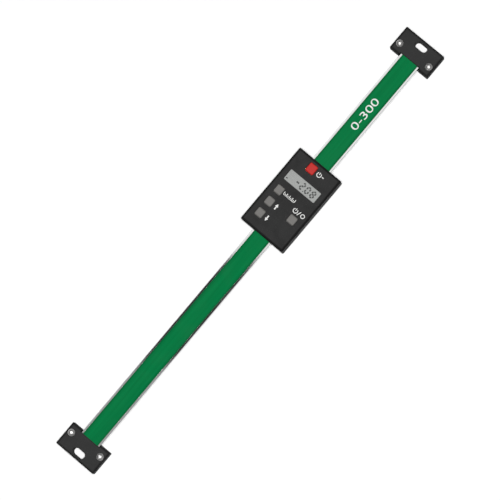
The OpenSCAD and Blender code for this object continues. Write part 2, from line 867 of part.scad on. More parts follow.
beam();
scale_strip();
scale_film();
upper_bracket_base();
upper_bracket_cap();
upper_bracket_screws();
lower_bracket_base();
lower_bracket_cap();
lower_bracket_screws();
slider_frame();
back_plate();
back_plate_screws();
gib_strip();
gib_screws();
glide_pads();
wipers();
front_cover();
cover_screws();
face_overlay();
display_window();
display_glass();
display_holder();
contact_rubbers();
circuit_board();
board_screws();
sensing_electrodes();
measuring_chip();
crystal();
board_parts();
switch_housings();
button_cell();
cell_contact_plus();
cell_contact_minus();
port_contacts();
battery_door();
port_cover();
off_key();
zero_key();
unit_key();
up_key();
down_key();
off_plunger();
zero_plunger();
unit_plunger();
up_plunger();
down_plunger();
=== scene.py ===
"""Looks of the digital linear scale unit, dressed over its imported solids."""
import json
import math

import bmesh
import bpy
from mathutils import Matrix, Vector


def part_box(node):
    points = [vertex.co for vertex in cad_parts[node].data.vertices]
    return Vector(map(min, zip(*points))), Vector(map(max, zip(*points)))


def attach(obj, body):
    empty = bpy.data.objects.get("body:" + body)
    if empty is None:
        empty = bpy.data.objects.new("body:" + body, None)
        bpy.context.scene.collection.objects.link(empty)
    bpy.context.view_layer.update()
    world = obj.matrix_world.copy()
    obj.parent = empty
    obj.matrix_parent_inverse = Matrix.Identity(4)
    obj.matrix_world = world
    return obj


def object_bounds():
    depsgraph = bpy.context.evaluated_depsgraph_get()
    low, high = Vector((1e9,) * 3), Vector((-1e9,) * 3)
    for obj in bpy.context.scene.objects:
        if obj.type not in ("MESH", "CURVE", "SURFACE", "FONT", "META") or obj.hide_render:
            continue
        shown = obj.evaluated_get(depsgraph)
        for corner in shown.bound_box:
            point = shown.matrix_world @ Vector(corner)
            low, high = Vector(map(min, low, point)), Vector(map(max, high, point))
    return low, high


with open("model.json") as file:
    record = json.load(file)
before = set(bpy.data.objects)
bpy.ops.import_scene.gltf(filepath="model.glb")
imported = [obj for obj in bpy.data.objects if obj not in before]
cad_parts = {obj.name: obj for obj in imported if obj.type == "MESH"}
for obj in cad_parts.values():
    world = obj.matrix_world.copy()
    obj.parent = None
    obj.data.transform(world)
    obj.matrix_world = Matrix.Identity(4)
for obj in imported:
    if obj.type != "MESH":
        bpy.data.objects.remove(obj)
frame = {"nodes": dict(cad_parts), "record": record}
cad_low, cad_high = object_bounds()

MM = 0.001

# ---- Places taken from the solids ----

face_low, face_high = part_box("face_overlay")
film_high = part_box("scale_film")[1]
glass_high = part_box("display_glass")[1]
cap_low, cap_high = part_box("upper_bracket_cap")

FACE_MID = (face_low + face_high) / 2


def over_face(node):
    """A node's middle on the slider's face: right and up as the display is read, in millimetres."""
    low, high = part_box(node)
    middle = (low + high) / 2
    return (FACE_MID.y - middle.y) / MM, (middle.x - FACE_MID.x) / MM


def face_outline(points):
    """Points given right and up on the face, in millimetres, turned into the part's own x and y."""
    return [(FACE_MID.x + up * MM, FACE_MID.y - right * MM) for right, up in points]


# ---- Camera, floor and light ----

CAMERA_AT = (-0.0567, -0.2695, 2.2717)
CAMERA_RIGHT = Vector((0.6444, -0.7610, -0.0746))
CAMERA_BACK = Vector((-0.0247, -0.1183, 0.9927))
CAMERA_LENS = 216
SENSOR_WIDTH = 36
CLIP_NEAR, CLIP_FAR = 0.01, 50

WALL_COLOUR = (0.96, 0.98, 1.0, 1.0)
WALL_GLOW = 0.45
WALL_FALLOFF = 3.0
CEILING_GLOW = 0.03

# Each lamp's place, the point it faces, its width and height in metres, and its power in watts
LAMPS = {
    "key_light": ((-0.06, -0.25, 2.9), (0, 0, 0), 0.5, 0.5, 87),
    "upper_card": ((0.40, 0.31, 2.6), (0.1, 0, 0), 0.56, 0.5, 0.86),
    "lower_card": ((-0.48, 0.31, 2.6), (-0.15, 0, 0), 0.42, 0.5, 0.26),
}

FLOOR_HALF = 6.0
FLOOR_DROP = 0.0002


def add_camera():
    """A long lens high over the object, turned so that the beam runs from lower left to upper right."""
    back = CAMERA_BACK.normalized()
    right = (CAMERA_RIGHT - back * CAMERA_RIGHT.dot(back)).normalized()
    up = back.cross(right)
    data = bpy.data.cameras.new("camera")
    data.lens = CAMERA_LENS
    data.sensor_width = SENSOR_WIDTH
    data.clip_start, data.clip_end = CLIP_NEAR, CLIP_FAR
    camera = bpy.data.objects.new("camera", data)
    bpy.context.scene.collection.objects.link(camera)
    turn = Matrix((right, up, back)).transposed()
    camera.matrix_world = Matrix.Translation(CAMERA_AT) @ turn.to_4x4()
    bpy.context.scene.camera = camera


def add_area_light(name, place, aim, width, height, power):
    """A rectangular lamp at a place, turned towards the point it faces."""
    data = bpy.data.lights.new(name, "AREA")
    data.shape = "RECTANGLE"
    data.size, data.size_y = width, height
    data.energy = power
    lamp = bpy.data.objects.new(name, data)
    bpy.context.scene.collection.objects.link(lamp)
    lamp.location = place
    lamp.rotation_mode = "QUATERNION"
    lamp.rotation_quaternion = (Vector(aim) - Vector(place)).to_track_quat("-Z", "Y")


def add_studio_walls():
    """Soft light, strongest from the sides, and a dark ceiling for the polished metal to mirror."""
    world = bpy.data.worlds.new("studio")
    bpy.context.scene.world = world
    world.use_nodes = True
    tree = world.node_tree
    background = tree.nodes["Background"]
    background.inputs["Color"].default_value = WALL_COLOUR
    where = add_node(tree, "ShaderNodeTexCoord").outputs["Generated"]
    height = add_node(tree, "ShaderNodeSeparateXYZ", None, Vector=where).outputs["Z"]
    sideways = add_node(
        tree, "ShaderNodeMath", {"operation": "SUBTRACT", "use_clamp": True}, _0=1.0, _1=height,
    ).outputs[0]
    glow = math_node(tree, "MULTIPLY", math_node(tree, "POWER", sideways, WALL_FALLOFF), WALL_GLOW)
    tree.links.new(math_node(tree, "ADD", glow, CEILING_GLOW), background.inputs["Strength"])


def add_surroundings():
    """The studio's soft light, its lamps, and colours shown as they are."""
    add_studio_walls()
    for name, lamp in LAMPS.items():
        add_area_light(name, *lamp)
    bpy.context.scene.view_settings.view_transform = "Standard"


# ---- Shader node groups ----

def new_group(name, inputs, outputs):
    """An empty shader group with number inputs and the given outputs; gives its tree and two ends."""
    tree = bpy.data.node_groups.new(name, "ShaderNodeTree")
    for label, value in inputs.items():
        socket = tree.interface.new_socket(label, in_out="INPUT", socket_type="NodeSocketFloat")
        socket.default_value = value
    for label, kind in outputs.items():
        tree.interface.new_socket(label, in_out="OUTPUT", socket_type=kind)
    start = tree.nodes.new("NodeGroupInput")
    end = tree.nodes.new("NodeGroupOutput")
    return tree, start, end


def add_node(tree, kind, settings=None, **values):
    """A node with its settings made and its inputs filled, by name or by place as _0 and _1."""
    node = tree.nodes.new(kind)
    for key, value in (settings or {}).items():
        setattr(node, key, value)
    for key, value in values.items():
        socket = node.inputs[int(key[1:])] if key[0] == "_" else node.inputs[key.replace("_", " ")]
        if isinstance(value, bpy.types.NodeSocket):
            tree.links.new(value, socket)
        else:
            socket.default_value = value
    return node


def math_node(tree, operation, first, second=0.0):
    """The result of one sum on two numbers or sockets."""
    return add_node(tree, "ShaderNodeMath", {"operation": operation}, _0=first, _1=second).outputs[0]


def spread_node(tree, value, low, high, to_low=0.0, to_high=1.0):
    """A value's span from low to high, spread out to the span from to_low to to_high."""
    return add_node(
        tree, "ShaderNodeMapRange", None,
        Value=value, From_Min=low, From_Max=high, To_Min=to_low, To_Max=to_high,
    ).outputs[0]


def make_edge_wear_and_shade_group():
    """An edge mask for rubbed edges and for painted edge shade: where the rounded normal leaves the
    true one, broken up by noise.
    """
    tree, start, end = new_group(
        "Edge wear",
        {"Width": 0.0003, "Breakup": 900.0, "Amount": 1.0},
        {"Mask": "NodeSocketFloat"},
    )
    rounded = add_node(tree, "ShaderNodeBevel", {"samples": 6}, Radius=start.outputs["Width"])
    true = add_node(tree, "ShaderNodeNewGeometry")
    dot = add_node(
        tree, "ShaderNodeVectorMath", {"operation": "DOT_PRODUCT"},
        _0=rounded.outputs[0], _1=true.outputs["Normal"],
    ).outputs["Value"]
    edge = spread_node(tree, dot, 0.99, 0.80)
    where = add_node(tree, "ShaderNodeTexCoord").outputs["Object"]
    noise = add_node(
        tree, "ShaderNodeTexNoise", None,
        Vector=where, Scale=start.outputs["Breakup"], Detail=4.0, Roughness=0.65,
    ).outputs["Fac"]
    broken = spread_node(tree, noise, 0.38, 0.62)
    worn_and_shaded = math_node(tree, "MULTIPLY", edge, broken)
    tree.links.new(math_node(tree, "MULTIPLY", worn_and_shaded, start.outputs["Amount"]), end.inputs["Mask"])
    return tree


def make_grain_group():
    """Fine moulded or sand-cast grain: a height for bumps and a shade that varies slowly."""
    tree, start, end = new_group(
        "Fine grain",
        {"Grain size": 2500.0, "Patch size": 60.0},
        {"Height": "NodeSocketFloat", "Shade": "NodeSocketFloat"},
    )
    where = add_node(tree, "ShaderNodeTexCoord").outputs["Object"]
    fine = add_node(
        tree, "ShaderNodeTexNoise", None,
        Vector=where, Scale=start.outputs["Grain size"], Detail=3.0, Roughness=0.6,
    ).outputs["Fac"]
    cells = add_node(
        tree, "ShaderNodeTexVoronoi", {"feature": "SMOOTH_F1"},
        Vector=where, Scale=start.outputs["Grain size"],
    ).outputs["Distance"]
    height = math_node(tree, "ADD", math_node(tree, "MULTIPLY", fine, 0.6), cells)
    tree.links.new(height, end.inputs["Height"])
    slow = add_node(
        tree, "ShaderNodeTexNoise", None,
        Vector=where, Scale=start.outputs["Patch size"], Detail=5.0, Roughness=0.6,
    ).outputs["Fac"]
    mostly_slow = math_node(tree, "MULTIPLY", slow, 0.7)
    shade = math_node(tree, "ADD", mostly_slow, math_node(tree, "MULTIPLY", fine, 0.3))
    tree.links.new(spread_node(tree, shade, 0.35, 0.65), end.inputs["Shade"])
    return tree


def make_brushed_group():
    """Grinding lines along X: noise drawn out into long thin streaks."""
    tree, start, end = new_group(
        "Brushed lines",
        {"Lines": 3000.0, "Streak": 30.0},
        {"Lines": "NodeSocketFloat"},
    )
    where = add_node(tree, "ShaderNodeTexCoord").outputs["Object"]
    parts = add_node(tree, "ShaderNodeSeparateXYZ", None, Vector=where)
    along = math_node(tree, "MULTIPLY", parts.outputs["X"], start.outputs["Streak"])
    across = math_node(tree, "MULTIPLY", parts.outputs["Y"], start.outputs["Lines"])
    upward = math_node(tree, "MULTIPLY", parts.outputs["Z"], start.outputs["Lines"])
    stretched = add_node(tree, "ShaderNodeCombineXYZ", None, X=along, Y=across, Z=upward).outputs[0]
    streaks = add_node(
        tree, "ShaderNodeTexNoise", None, Vector=stretched, Scale=1.0, Detail=6.0, Roughness=0.7,
    ).outputs["Fac"]
    tree.links.new(spread_node(tree, streaks, 0.3, 0.7), end.inputs["Lines"])
    return tree


def make_handling_group():
    """Smudges and settled dust: soft patches that change the gloss, and small pale specks."""
    tree, start, end = new_group(
        "Handling marks",
        {"Smudge size": 90.0, "Speck size": 1400.0, "Speck share": 0.12},
        {"Smudge": "NodeSocketFloat", "Specks": "NodeSocketFloat"},
    )
    where = add_node(tree, "ShaderNodeTexCoord").outputs["Object"]
    smudge = add_node(
        tree, "ShaderNodeTexNoise", None,
        Vector=where, Scale=start.outputs["Smudge size"], Detail=3.0, Distortion=0.8,
    ).outputs["Fac"]
    tree.links.new(spread_node(tree, smudge, 0.4, 0.7), end.inputs["Smudge"])
    speck = add_node(
        tree, "ShaderNodeTexVoronoi", None, Vector=where, Scale=start.outputs["Speck size"],
    ).outputs["Distance"]
    small = math_node(tree, "LESS_THAN", speck, start.outputs["Speck share"])
    tree.links.new(small, end.inputs["Specks"])
    return tree


def make_recess_shade_group():
    """Painted shade in corners and recesses: how closed-in the surface is, broken up by noise."""
    tree, start, end = new_group(
        "Recess shade",
        {"Reach": 0.0012, "Breakup": 1500.0},
        {"Mask": "NodeSocketFloat"},
    )
    openness = add_node(
        tree, "ShaderNodeAmbientOcclusion", {"samples": 6}, Distance=start.outputs["Reach"],
    ).outputs["AO"]
    closed = spread_node(tree, openness, 0.85, 0.35)
    where = add_node(tree, "ShaderNodeTexCoord").outputs["Object"]
    noise = add_node(
        tree, "ShaderNodeTexNoise", None, Vector=where, Scale=start.outputs["Breakup"], Detail=3.0,
    ).outputs["Fac"]
    uneven = spread_node(tree, noise, 0.2, 0.5, 0.75, 1.0)
    tree.links.new(math_node(tree, "MULTIPLY", closed, uneven), end.inputs["Mask"])
    return tree


EDGE_WEAR_AND_SHADE = make_edge_wear_and_shade_group()
RECESS_SHADE_GROUP = make_recess_shade_group()
FINE_GRAIN = make_grain_group()
BRUSHED = make_brushed_group()
HANDLING = make_handling_group()


def place_group(tree, group, **values):
    """One use of a shader group in a material, with its own values; gives its outputs."""
    node = tree.nodes.new("ShaderNodeGroup")
    node.node_tree = group
    for key, value in values.items():
        node.inputs[key.replace("_", " ")].default_value = value
    return node.outputs


# ---- Finishes ----

DUST = (0.35, 0.35, 0.34)
FILM_DUST = (0.2, 0.40, 0.28)
# Colour of the painted shade laid into metal's corners and recesses
RECESS_SHADE_COLOUR = (0.02, 0.02, 0.02)

# Widths of the darker borders; the brackets' border is painted shade
FILM_BORDER = 2.2 * MM
BRACKET_SHADE_WIDTH = 2.0 * MM

# How dark a moulded colour's patches are, and how bright metal is where rubbed
PATCH_SHADE = 0.82
RUBBED_SHINE = 1.15

# How much of each mark is laid over the colour below it
METAL_WEAR = 0.8
TARNISH_SHARE = 0.6
BORDER_SHARE = 0.6
FILM_DUST_SHARE = 0.08
DISPLAY_ROW_SHARE = 0.12


def start_finish(name, **sockets):
    """A material with its Principled shader's plain values set; gives the material, tree and shader."""
    material = bpy.data.materials.new(name)
    material.use_nodes = True
    tree = material.node_tree
    shader = tree.nodes["Principled BSDF"]
    for key, value in sockets.items():
        shader.inputs[key.replace("_", " ")].default_value = value
    return material, tree, shader


def mix_colour(tree, share, first, second):
    """The first colour with a share of the second laid over it."""
    node = add_node(tree, "ShaderNodeMix", {"data_type": "RGBA"})
    wanted = {"Factor_Float": share, "A_Color": first, "B_Color": second}
    for socket in node.inputs:
        if socket.identifier in wanted:
            value = wanted[socket.identifier]
            if isinstance(value, bpy.types.NodeSocket):
                tree.links.new(value, socket)
            else:
                socket.default_value = value
    return next(s for s in node.outputs if s.identifier == "Result_Color")


def rgba(red, green, blue):
    """A solid colour as shader sockets take it."""
    return (red, green, blue, 1.0)


def finish_bumps(tree, shader, height, depth, edge_radius):
    """Rounds the edges a little and lays the height over them."""
    rounded = add_node(tree, "ShaderNodeBevel", {"samples": 4}, Radius=edge_radius).outputs[0]
    bump = add_node(
        tree, "ShaderNodeBump", None, Height=height, Distance=depth, Strength=1.0, Normal=rounded,
    )
    tree.links.new(bump.outputs[0], shader.inputs["Normal"])


def bracket_edge_shade(tree):
    """Painted shade round a bracket's outline: how near a point is to it, and zero off the brackets,
    which are alike.
    """
    where = add_node(tree, "ShaderNodeTexCoord").outputs["Object"]
    parts = add_node(tree, "ShaderNodeSeparateXYZ", None, Vector=where).outputs
    along = math_node(tree, "ABSOLUTE", parts["X"])
    across = math_node(tree, "ABSOLUTE", parts["Y"])
    flat = BRACKET_SHADE_WIDTH / 2
    outer = spread_node(tree, along, cap_high.x - BRACKET_SHADE_WIDTH, cap_high.x - flat)
    inner = spread_node(tree, along, cap_low.x + BRACKET_SHADE_WIDTH, cap_low.x + flat)
    side = spread_node(tree, across, cap_high.y - BRACKET_SHADE_WIDTH, cap_high.y - flat)
    nearest = math_node(tree, "MAXIMUM", math_node(tree, "MAXIMUM", outer, inner), side)
    on_bracket = math_node(tree, "GREATER_THAN", along, cap_low.x - flat)
    return math_node(tree, "MULTIPLY", nearest, on_bracket)


def moulded(name, colour, worn_and_shaded, rough, shift=0.12, gloss=0.3, grain=2500.0, depth=0.01 * MM,
            wear_and_shade=0.5, edge=0.12 * MM, wear_and_shade_width=0.3 * MM, specks=0.15, ior=1.3, border=None):
    """Moulded plastic or painted metal: grain, slow shade changes, rubbed edges and a little dust. A
    dark edge colour, as on black metal, paints shade along the edges.
    """
    material, tree, shader = start_finish(name, Specular_IOR_Level=gloss, IOR=ior)
    grain_out = place_group(tree, FINE_GRAIN, Grain_size=grain)
    edge_out = place_group(tree, EDGE_WEAR_AND_SHADE, Width=wear_and_shade_width, Amount=wear_and_shade)
    marks = place_group(tree, HANDLING)
    dark = tuple(c * PATCH_SHADE for c in colour)
    shaded = mix_colour(tree, grain_out["Shade"], rgba(*dark), rgba(*colour))
    # Where the edge colour is dark, as on black metal, this paints shade along the edges
    rubbed = mix_colour(tree, edge_out["Mask"], shaded, rgba(*worn_and_shaded))
    # On the brackets this border is painted shade round their outline
    if border:
        share = math_node(tree, "MULTIPLY", border(tree), BORDER_SHARE)
        rubbed = mix_colour(tree, share, rubbed, rgba(*worn_and_shaded))
    dusty = math_node(tree, "MULTIPLY", marks["Specks"], specks)
    tree.links.new(mix_colour(tree, dusty, rubbed, rgba(*DUST)), shader.inputs["Base Color"])
    level = spread_node(tree, marks["Smudge"], 0.0, 1.0, rough - shift / 2, rough + shift / 2)
    tree.links.new(level, shader.inputs["Roughness"])
    finish_bumps(tree, shader, grain_out["Height"], depth, edge)
    return material


def metal(name, colour, dull, rough, shift=0.15, lines=3000.0, streak=30.0, depth=0.004 * MM,
          edge=0.1 * MM, recess_shade=0.6):
    """Ground or turned metal: fine lines, tarnish in slow patches, bright rubbed edges and painted
    shade in corners and recesses.
    """
    material, tree, shader = start_finish(name, Metallic=1.0)
    line_out = place_group(tree, BRUSHED, Lines=lines, Streak=streak)
    marks = place_group(tree, HANDLING, Smudge_size=45.0)
    edge_out = place_group(tree, EDGE_WEAR_AND_SHADE, Width=2 * edge, Amount=METAL_WEAR)
    tarnish = math_node(tree, "MULTIPLY", marks["Smudge"], TARNISH_SHARE)
    toned = mix_colour(tree, tarnish, rgba(*colour), rgba(*dull))
    bright = tuple(min(1.0, c * RUBBED_SHINE) for c in colour)
    rubbed = mix_colour(tree, edge_out["Mask"], toned, rgba(*bright))
    # Painted shade: the colour darkens in corners and recesses
    closed = math_node(tree, "MULTIPLY", place_group(tree, RECESS_SHADE_GROUP)["Mask"], recess_shade)
    tree.links.new(mix_colour(tree, closed, rubbed, rgba(*RECESS_SHADE_COLOUR)), shader.inputs["Base Color"])
    level = spread_node(tree, line_out["Lines"], 0.0, 1.0, rough - shift / 2, rough + shift / 2)
    tree.links.new(level, shader.inputs["Roughness"])
    finish_bumps(tree, shader, line_out["Lines"], depth, edge)
    return material


def printed_film():
    """The green film: faint printing streaks, a darker border along both long edges, a soft sheen."""
    material, tree, shader = start_finish("green_film", Specular_IOR_Level=0.03)
    line_out = place_group(tree, BRUSHED, Lines=500.0, Streak=12.0)
    marks = place_group(tree, HANDLING, Smudge_size=35.0, Speck_share=0.08)
    green, pale_green = rgba(0.0015, 0.147, 0.042), rgba(0.002, 0.177, 0.051)
    toned = mix_colour(tree, line_out["Lines"], green, pale_green)
    where = add_node(tree, "ShaderNodeTexCoord").outputs["Object"]
    across = add_node(tree, "ShaderNodeSeparateXYZ", None, Vector=where).outputs["Y"]
    off_middle = math_node(tree, "ABSOLUTE", across)
    border = spread_node(tree, off_middle, film_high.y - FILM_BORDER, film_high.y, 0.0, BORDER_SHARE)
    edged = mix_colour(tree, border, toned, rgba(0.002, 0.075, 0.025))
    dusty = math_node(tree, "MULTIPLY", marks["Specks"], FILM_DUST_SHARE)
    tree.links.new(mix_colour(tree, dusty, edged, rgba(*FILM_DUST)), shader.inputs["Base Color"])
    level = spread_node(tree, marks["Smudge"], 0.0, 1.0, 0.09, 0.16)
    tree.links.new(level, shader.inputs["Roughness"])
    finish_bumps(tree, shader, line_out["Lines"], 0.0006 * MM, 0.02 * MM)
    return material


def clear_lens():
    """The window: nearly clear, with a faint grey tint and smudges."""
    material, tree, shader = start_finish("clear_lens", Specular_IOR_Level=0.1, Alpha=0.07)
    marks = place_group(tree, HANDLING, Smudge_size=120.0, Speck_share=0.06)
    tint = mix_colour(tree, marks["Smudge"], rgba(0.30, 0.31, 0.31), rgba(0.36, 0.37, 0.37))
    tree.links.new(tint, shader.inputs["Base Color"])
    level = spread_node(tree, marks["Smudge"], 0.0, 1.0, 0.05, 0.16)
    tree.links.new(level, shader.inputs["Roughness"])
    return material


def display_cell():
    """The liquid-crystal glass: grey, a little mottled, with the faint rows of its rear polariser."""
    material, tree, shader = start_finish("display_cell", Specular_IOR_Level=0.4)
    line_out = place_group(tree, BRUSHED, Lines=1500.0, Streak=1500.0)
    grain_out = place_group(tree, FINE_GRAIN, Grain_size=1800.0, Patch_size=40.0)
    base = mix_colour(tree, grain_out["Shade"], rgba(0.235, 0.243, 0.233), rgba(0.283, 0.292, 0.279))
    rows = math_node(tree, "MULTIPLY", line_out["Lines"], DISPLAY_ROW_SHARE)
    tree.links.new(mix_colour(tree, rows, base, rgba(0.2, 0.21, 0.2)), shader.inputs["Base Color"])
    level = spread_node(tree, grain_out["Shade"], 0.0, 1.0, 0.3, 0.4)
    tree.links.new(level, shader.inputs["Roughness"])
    finish_bumps(tree, shader, grain_out["Height"], 0.001 * MM, 0.05 * MM)
    return material


def printed_ink(name, colour, thin):
    """Screen-printed ink: slightly uneven cover, with its edges a little rounded."""
    material, tree, shader = start_finish(name, Specular_IOR_Level=0.25)
    grain_out = place_group(tree, FINE_GRAIN, Grain_size=5000.0, Patch_size=500.0)
    tree.links.new(
        mix_colour(tree, grain_out["Shade"], rgba(*thin), rgba(*colour)), shader.inputs["Base Color"]
    )
    level = spread_node(tree, grain_out["Shade"], 0.0, 1.0, 0.45, 0.6)
    tree.links.new(level, shader.inputs["Roughness"])
    finish_bumps(tree, shader, grain_out["Height"], 0.002 * MM, 0.02 * MM)
    return material


def felt():
    """Pressed felt: short fibres and an uneven grey-brown."""
    material, tree, shader = start_finish("felt", Specular_IOR_Level=0.1, Roughness=0.95)
    grain_out = place_group(tree, FINE_GRAIN, Grain_size=6000.0, Patch_size=700.0)
    line_out = place_group(tree, BRUSHED, Lines=9000.0, Streak=2200.0)
    base = mix_colour(tree, grain_out["Shade"], rgba(0.16, 0.14, 0.12), rgba(0.34, 0.31, 0.27))
    tree.links.new(
        mix_colour(tree, line_out["Lines"], base, rgba(0.42, 0.39, 0.34)), shader.inputs["Base Color"]
    )
    finish_bumps(tree, shader, grain_out["Height"], 0.05 * MM, 0.1 * MM)
    return material


def make_finishes():
    """One finish for each material slot: its colour, its rubbed or dull colour (on black metal, the
    colour of painted edge shade), and its roughness.
    """
    white = (0.9, 0.9, 0.88)
    return {
        "polished_steel": metal(
            "polished_steel", (0.78, 0.79, 0.78), (0.68, 0.68, 0.67), 0.05,
            shift=0.04, depth=0.0006 * MM, edge=0.0,
        ),
        "plate_steel": metal("plate_steel", (0.58, 0.58, 0.57), (0.42, 0.42, 0.41), 0.38),
        # The screws' recesses get the full painted shade
        "screw_steel": metal(
            "screw_steel", (0.60, 0.59, 0.58), (0.44, 0.43, 0.42), 0.42,
            streak=2500.0, edge=0.05 * MM, recess_shade=1.0,
        ),
        "dark_steel": metal("dark_steel", (0.10, 0.10, 0.11), (0.05, 0.05, 0.05), 0.42),
        "cell_steel": metal(
            "cell_steel", (0.80, 0.79, 0.76), (0.62, 0.61, 0.58), 0.18, streak=2800.0,
        ),
        "brass_metal": metal("brass_metal", (0.72, 0.52, 0.22), (0.45, 0.30, 0.12), 0.32),
        "copper": metal("copper", (0.80, 0.42, 0.24), (0.55, 0.25, 0.13), 0.35),
        "gold_plate": metal("gold_plate", (0.90, 0.68, 0.30), (0.75, 0.52, 0.20), 0.2),
        # Black metal: its dark edge colour paints shade along the edges and, as a border, round the
        # brackets' outline
        "black_metal": moulded(
            "black_metal", (0.036, 0.036, 0.036), (0.004, 0.004, 0.004), 0.55,
            gloss=0.14, ior=1.12, grain=2200.0, depth=0.014 * MM,
            wear_and_shade=1.0, edge=0.4 * MM, wear_and_shade_width=1.6 * MM, border=bracket_edge_shade,
        ),
        "cover_plastic": moulded(
            "cover_plastic", (0.0125, 0.0125, 0.0125), (0.03, 0.03, 0.03), 0.5,
            gloss=0.12, ior=1.16, wear_and_shade=0.6, edge=0.2 * MM,
        ),
        "overlay_film": moulded(
            "overlay_film", (0.0255, 0.0255, 0.0255), (0.045, 0.045, 0.045), 0.52,
            gloss=0.1, grain=4200.0, depth=0.006 * MM, wear_and_shade=0.25, edge=0.05 * MM,
        ),
        "red_key": moulded(
            "red_key", (0.50, 0.022, 0.018), (0.60, 0.10, 0.08), 0.42,
            gloss=0.15, grain=3200.0, wear_and_shade=0.4, edge=0.3 * MM, specks=0.08,
        ),
        "grey_key": moulded(
            "grey_key", (0.178, 0.172, 0.164), (0.27, 0.26, 0.25), 0.5,
            gloss=0.2, grain=3200.0, wear_and_shade=0.5, edge=0.3 * MM, specks=0.08,
        ),
        "switch_grey": moulded("switch_grey", (0.22, 0.22, 0.22), (0.35, 0.35, 0.35), 0.45),
        "white_plastic": moulded("white_plastic", (0.78, 0.77, 0.74), white, 0.5),
        "ptfe": moulded("ptfe", (0.80, 0.80, 0.77), white, 0.4, gloss=0.4),
        "black_rubber": moulded(
            "black_rubber", (0.018, 0.018, 0.018), (0.05, 0.05, 0.05), 0.75, gloss=0.2,
        ),
        "chip_black": moulded("chip_black", (0.016, 0.016, 0.017), (0.07, 0.07, 0.07), 0.6),
        "small_parts": moulded("small_parts", (0.42, 0.30, 0.17), (0.60, 0.55, 0.48), 0.5),
        "board_green": moulded(
            "board_green", (0.012, 0.105, 0.038), (0.05, 0.20, 0.09), 0.35, gloss=0.5,
        ),
        "scale_board": moulded("scale_board", (0.34, 0.25, 0.10), (0.48, 0.38, 0.18), 0.45),
        "green_film": printed_film(),
        "clear_lens": clear_lens(),
        "display_cell": display_cell(),
        "felt": felt(),
    }


# ---- Pieces that the scene adds ----

PRINT_T = 0.03 * MM


def add_mesh(name, body, material, outlines, z_low, thickness):
    """A flat piece from outlines: each is a list of (x, y) points, drawn up from z_low."""
    mesh = bmesh.new()
    for outline in outlines:
        low = [mesh.verts.new((x, y, z_low)) for x, y in outline]
        high = [mesh.verts.new((x, y, z_low + thickness)) for x, y in outline]
        count = len(outline)
        mesh.faces.new(high)
        mesh.faces.new(list(reversed(low)))
        for i in range(count):
            j = (i + 1) % count
            mesh.faces.new((low[i], low[j], high[j], high[i]))
    bmesh.ops.recalc_face_normals(mesh, faces=mesh.faces)
    data = bpy.data.meshes.new(name)
    mesh.to_mesh(data)
    mesh.free()
    data.materials.append(material)
    piece = bpy.data.objects.new(name, data)
    bpy.context.scene.collection.objects.link(piece)
    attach(piece, body)


def bar(right, up, width, height):
    """A rectangle round a middle, right and up on the face."""
    w, h = width / 2, height / 2
    return [(right - w, up - h), (right + w, up - h), (right + w, up + h), (right - w, up + h)]


def arc_quads(right, up, radius, line, start, stop, steps=28):
    """Short four-sided pieces that make a curved line; angles in degrees."""
    outlines = []
    inner, outer = radius - line / 2, radius + line / 2
    for i in range(steps):
        a = math.radians(start + (stop - start) * i / steps)
        b = math.radians(start + (stop - start) * (i + 1) / steps)
        outlines.append([
            (right + inner * math.cos(a), up + inner * math.sin(a)),
            (right + outer * math.cos(a), up + outer * math.sin(a)),
            (right + outer * math.cos(b), up + outer * math.sin(b)),
            (right + inner * math.cos(b), up + inner * math.sin(b)),
        ])
    return outlines


def power_mark(right, up, radius, line):
    """A ring open at its top with an upright bar in the gap."""
    top, half_gap = 90, 38
    bar_up, bar_tall = radius * 0.62, radius * 1.1
    ring = arc_quads(right, up, radius, line, top + half_gap, top + 360 - half_gap)
    return ring + [bar(right, up + bar_up, line, bar_tall)]


def arrow_mark(right, up, height, width, direction):
    """A plain arrow that points up (1) or down (-1)."""
    head_tall, half_stem = height * 0.48, width * 0.19
    tip = up + direction * height / 2
    neck = tip - direction * head_tall
    tail = up - direction * height / 2
    head = [(right - width / 2, neck), (right + width / 2, neck), (right, tip)]
    stem = [
        (right - half_stem, tail), (right + half_stem, tail),
        (right + half_stem, neck), (right - half_stem, neck),
    ]
    return [head, stem]


def ruler_mark(right, up, width, height, line, ticks):
    """A ruler's edge: a base line with long and short ticks."""
    short_tick = height * 0.62
    outlines = [bar(right, up - height / 2 + line / 2, width, line)]
    for i in range(ticks):
        at = right - width / 2 + line / 2 + i * (width - line) / (ticks - 1)
        tall = height if i % 2 == 0 else short_tick
        outlines.append(bar(at, up - height / 2 + tall / 2, line, tall))
    return outlines


# The display's reading, in millimetres right and up of the window's middle
READING = "208"
SEGMENTS_ON = {"0": "abcdef", "2": "abged", "8": "abcdefg"}
DIGIT_W, DIGIT_H, DIGIT_LINE, DIGIT_PITCH = 3.9, 6.6, 1.3, 5.1
DIGIT_SLANT = math.tan(math.radians(5))
MINUS_RIGHT, MINUS_WIDE = -4.6, 2.4
POINT_RIGHT, POINT_UP, POINT_SIZE = 2.6, -2.9, 0.8
BATTERY_RIGHT, BATTERY_UP = -13.4, -2.6
BATTERY_WIDE, BATTERY_TALL = 1.4, 1.0


def segment(x0, y0, x1, y1, line):
    """One long segment with pointed ends, a little short of both."""
    start, stop = Vector((x0, y0)), Vector((x1, y1))
    along = (stop - start).normalized()
    side = Vector((-along.y, along.x)) * line / 2
    gap = line * 0.15
    start, stop = start + along * gap, stop - along * gap
    near, far = start + along * line / 2, stop - along * line / 2
    return [start, near - side, far - side, stop, far + side, near + side]


